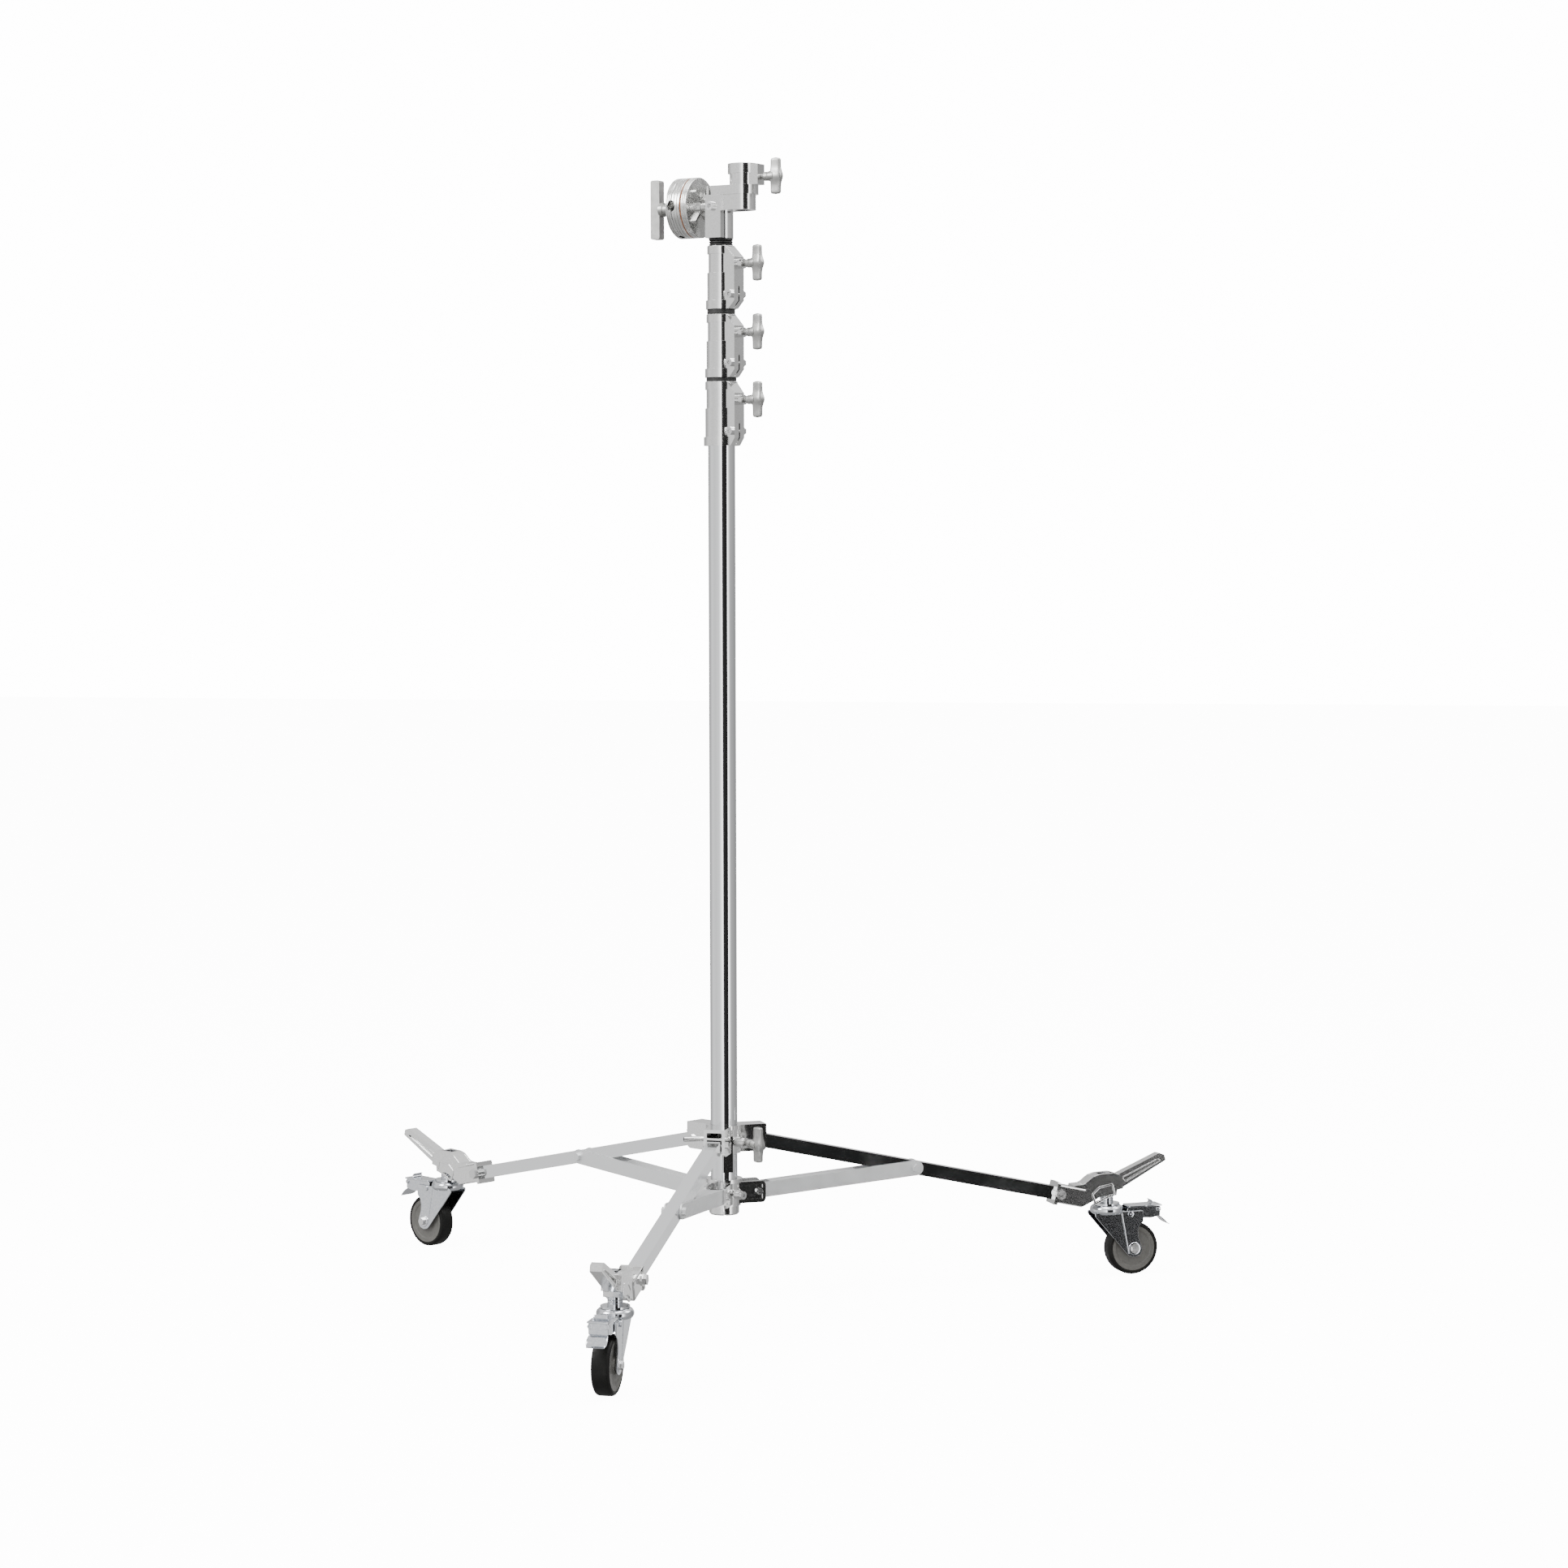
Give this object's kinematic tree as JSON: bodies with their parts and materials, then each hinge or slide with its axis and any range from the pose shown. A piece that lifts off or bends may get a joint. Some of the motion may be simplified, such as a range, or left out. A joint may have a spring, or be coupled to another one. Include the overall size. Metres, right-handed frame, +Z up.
{
  "type": "rolling overhead stand",
  "caption": "Chromed steel overhead light stand with telescoping risers, folding braced legs on braked casters, a grip head and a junior receiver.",
  "frame": {"origin": "on the floor under the centre of the stand's bounding box; the column's axis is at y = 0.2139 m", "axes": "+Z up along the column, -Y towards the front leg, +X to the right"},
  "size_m": [1.5536, 1.3454, 2.093],
  "materials": {
    "chrome_tube": "polished chrome plate",
    "chrome_leg": "polished chrome plate on steel",
    "satin_brace": "satin plated steel",
    "chrome_casting": "bright plated casting",
    "knob_metal": "satin plated casting",
    "grip_metal": "satin plated casting",
    "fastener_steel": "zinc plated",
    "zinc_sheet": "bright zinc plated sheet",
    "wheel_plastic": "moulded grey plastic",
    "tyre_rubber": "black rubber",
    "bumper_rubber": "black rubber",
    "brake_fibre": "brown fibre"
  },
  "bodies": {
    "column": {"column_tube": "chrome_tube", "base_collar": "chrome_casting", "base_collar_fasteners": "fastener_steel", "mast_collar_1": "chrome_casting", "mast_collar_1_screw": "fastener_steel", "bumper_ring_1": "bumper_rubber"},
    "leg_collar": {"leg_collar": "chrome_casting", "leg_collar_pins": "fastener_steel"},
    "collar_tee": {"collar_tee": "knob_metal"},
    "riser_1": {"riser_tube_1": "chrome_tube", "mast_collar_2": "chrome_casting", "mast_collar_2_screw": "fastener_steel", "bumper_ring_2": "bumper_rubber"},
    "riser_2": {"riser_tube_2": "chrome_tube", "mast_collar_3": "chrome_casting", "mast_collar_3_screw": "fastener_steel", "bumper_ring_3": "bumper_rubber"},
    "riser_3": {"riser_tube_3": "chrome_tube", "head_casting": "chrome_casting", "grip_block_screw": "fastener_steel", "grip_shaft": "grip_metal"},
    "receiver_knob": {"receiver_knob": "knob_metal"},
    "jaws": {"friction_washer": "brake_fibre", "jaw_inner": "grip_metal"},
    "jaw_plate": {"jaw_outer": "grip_metal"},
    "grip_tee": {"grip_tee": "knob_metal"},
    "tee_knob_1": {"tee_knob_1": "knob_metal"},
    "leg_1": {"leg_tube_1": "chrome_leg", "leg_bolts_1": "fastener_steel", "caster_bracket_1": "chrome_casting", "caster_stem_1": "zinc_sheet"},
    "brace_1": {"brace_1": "satin_brace"},
    "caster_1": {"caster_yoke_1": "zinc_sheet", "axle_bolt_1": "fastener_steel"},
    "wheel_1": {"wheel_core_1": "wheel_plastic", "tyre_1": "tyre_rubber"},
    "pedal_1": {"brake_pedal_1": "zinc_sheet"},
    "tee_knob_2": {"tee_knob_2": "knob_metal"},
    "leg_2": {"leg_tube_2": "chrome_leg", "leg_bolts_2": "fastener_steel", "caster_bracket_2": "chrome_casting", "caster_stem_2": "zinc_sheet"},
    "brace_2": {"brace_2": "satin_brace"},
    "caster_2": {"caster_yoke_2": "zinc_sheet", "axle_bolt_2": "fastener_steel"},
    "wheel_2": {"wheel_core_2": "wheel_plastic", "tyre_2": "tyre_rubber"},
    "pedal_2": {"brake_pedal_2": "zinc_sheet"},
    "tee_knob_3": {"tee_knob_3": "knob_metal"},
    "leg_3": {"leg_tube_3": "chrome_leg", "leg_bolts_3": "fastener_steel", "caster_bracket_3": "chrome_casting", "caster_stem_3": "zinc_sheet"},
    "brace_3": {"brace_3": "satin_brace"},
    "caster_3": {"caster_yoke_3": "zinc_sheet", "axle_bolt_3": "fastener_steel"},
    "wheel_3": {"wheel_core_3": "wheel_plastic", "tyre_3": "tyre_rubber"},
    "pedal_3": {"brake_pedal_3": "zinc_sheet"}
  },
  "joints": [
    {"name": "leg_collar_slide", "type": "slide", "parent": "column", "child": "leg_collar", "axis": [0, 0, 1], "range_m": [0, 0.519]},
    {"name": "collar_tee_turn", "type": "hinge", "parent": "leg_collar", "child": "collar_tee", "pos_m": [0.06928, 0.17386, 0.297], "axis": [0.866, -0.5, 0], "range_deg": [0, 360]},
    {"name": "leg_1_fold", "type": "hinge", "parent": "leg_collar", "child": "leg_1", "pos_m": [0, 0.15186, 0.297], "axis": [1, 0, 0], "range_deg": [0, 66.18]},
    {"name": "brace_1_fold", "type": "hinge", "parent": "column", "child": "brace_1", "pos_m": [0, 0.15186, 0.202], "axis": [-1, 0, 0], "range_deg": [0, 73.71]},
    {"name": "leg_2_fold", "type": "hinge", "parent": "leg_collar", "child": "leg_2", "pos_m": [0.05369, 0.24486, 0.297], "axis": [-0.5, 0.866, 0], "range_deg": [0, 66.18]},
    {"name": "brace_2_fold", "type": "hinge", "parent": "column", "child": "brace_2", "pos_m": [0.05369, 0.24486, 0.202], "axis": [0.5, -0.866, 0], "range_deg": [0, 73.71]},
    {"name": "leg_3_fold", "type": "hinge", "parent": "leg_collar", "child": "leg_3", "pos_m": [-0.05369, 0.24486, 0.297], "axis": [-0.5, -0.866, 0], "range_deg": [0, 66.18]},
    {"name": "brace_3_fold", "type": "hinge", "parent": "column", "child": "brace_3", "pos_m": [-0.05369, 0.24486, 0.202], "axis": [0.5, 0.866, 0], "range_deg": [0, 73.71]},
    {"name": "riser_1_slide", "type": "slide", "parent": "column", "child": "riser_1", "axis": [0, 0, 1], "range_m": [0, 1.24]},
    {"name": "tee_knob_1_turn", "type": "hinge", "parent": "column", "child": "tee_knob_1", "pos_m": [0.07794, 0.16886, 1.658], "axis": [0.866, -0.5, 0], "range_deg": [0, 360]},
    {"name": "riser_2_slide", "type": "slide", "parent": "riser_1", "child": "riser_2", "axis": [0, 0, 1], "range_m": [0, 1.24]},
    {"name": "tee_knob_2_turn", "type": "hinge", "parent": "riser_1", "child": "tee_knob_2", "pos_m": [0.07794, 0.16886, 1.78], "axis": [0.866, -0.5, 0], "range_deg": [0, 360]},
    {"name": "riser_3_slide", "type": "slide", "parent": "riser_2", "child": "riser_3", "axis": [0, 0, 1], "range_m": [0, 1.24]},
    {"name": "tee_knob_3_turn", "type": "hinge", "parent": "riser_2", "child": "tee_knob_3", "pos_m": [0.07794, 0.16886, 1.904], "axis": [0.866, -0.5, 0], "range_deg": [0, 360]},
    {"name": "receiver_knob_turn", "type": "hinge", "parent": "riser_3", "child": "receiver_knob", "pos_m": [0.10189, 0.18464, 2.06], "axis": [0.9613, -0.2756, 0], "range_deg": [0, 360]},
    {"name": "grip_turn", "type": "hinge", "parent": "riser_3", "child": "jaws", "pos_m": [-0.06788, 0.22292, 2.009], "axis": [-0.9613, 0.2756, 0], "continuous": true},
    {"name": "jaw_open", "type": "slide", "parent": "jaws", "child": "jaw_plate", "axis": [-0.9613, 0.2756, 0], "range_m": [0, 0.004]},
    {"name": "grip_tee_turn", "type": "hinge", "parent": "jaw_plate", "child": "grip_tee", "pos_m": [-0.10633, 0.23394, 2.009], "axis": [-0.9613, 0.2756, 0], "range_deg": [0, 360]},
    {"name": "caster_1_swivel", "type": "hinge", "parent": "leg_1", "child": "caster_1", "pos_m": [0, -0.54814, 0.132], "axis": [0, 0, 1], "continuous": true},
    {"name": "wheel_1_spin", "type": "hinge", "parent": "caster_1", "child": "wheel_1", "pos_m": [0, -0.59814, 0.051], "axis": [1, 0, 0], "continuous": true},
    {"name": "brake_1_press", "type": "hinge", "parent": "caster_1", "child": "pedal_1", "pos_m": [0, -0.59014, 0.118], "axis": [1, 0, 0], "range_deg": [0, 14]},
    {"name": "caster_2_swivel", "type": "hinge", "parent": "leg_2", "child": "caster_2", "pos_m": [0.65991, 0.59486, 0.132], "axis": [0, 0, 1], "continuous": true},
    {"name": "wheel_2_spin", "type": "hinge", "parent": "caster_2", "child": "wheel_2", "pos_m": [0.70321, 0.61986, 0.051], "axis": [-0.5, 0.866, 0], "continuous": true},
    {"name": "brake_2_press", "type": "hinge", "parent": "caster_2", "child": "pedal_2", "pos_m": [0.69628, 0.61586, 0.118], "axis": [-0.5, 0.866, 0], "range_deg": [0, 14]},
    {"name": "caster_3_swivel", "type": "hinge", "parent": "leg_3", "child": "caster_3", "pos_m": [-0.65991, 0.59486, 0.132], "axis": [0, 0, 1], "continuous": true},
    {"name": "wheel_3_spin", "type": "hinge", "parent": "caster_3", "child": "wheel_3", "pos_m": [-0.70321, 0.61986, 0.051], "axis": [-0.5, -0.866, 0], "continuous": true},
    {"name": "brake_3_press", "type": "hinge", "parent": "caster_3", "child": "pedal_3", "pos_m": [-0.69628, 0.61586, 0.118], "axis": [-0.5, -0.866, 0], "range_deg": [0, 14]}
  ],
  "couplings": [
    {"joint": "leg_1_fold", "follows": "leg_collar_slide", "rad_per_m": 2.2188},
    {"joint": "brace_1_fold", "follows": "leg_collar_slide", "rad_per_m": 2.4721},
    {"joint": "leg_2_fold", "follows": "leg_collar_slide", "rad_per_m": 2.2188},
    {"joint": "brace_2_fold", "follows": "leg_collar_slide", "rad_per_m": 2.4721},
    {"joint": "leg_3_fold", "follows": "leg_collar_slide", "rad_per_m": 2.2188},
    {"joint": "brace_3_fold", "follows": "leg_collar_slide", "rad_per_m": 2.4721}
  ]
}
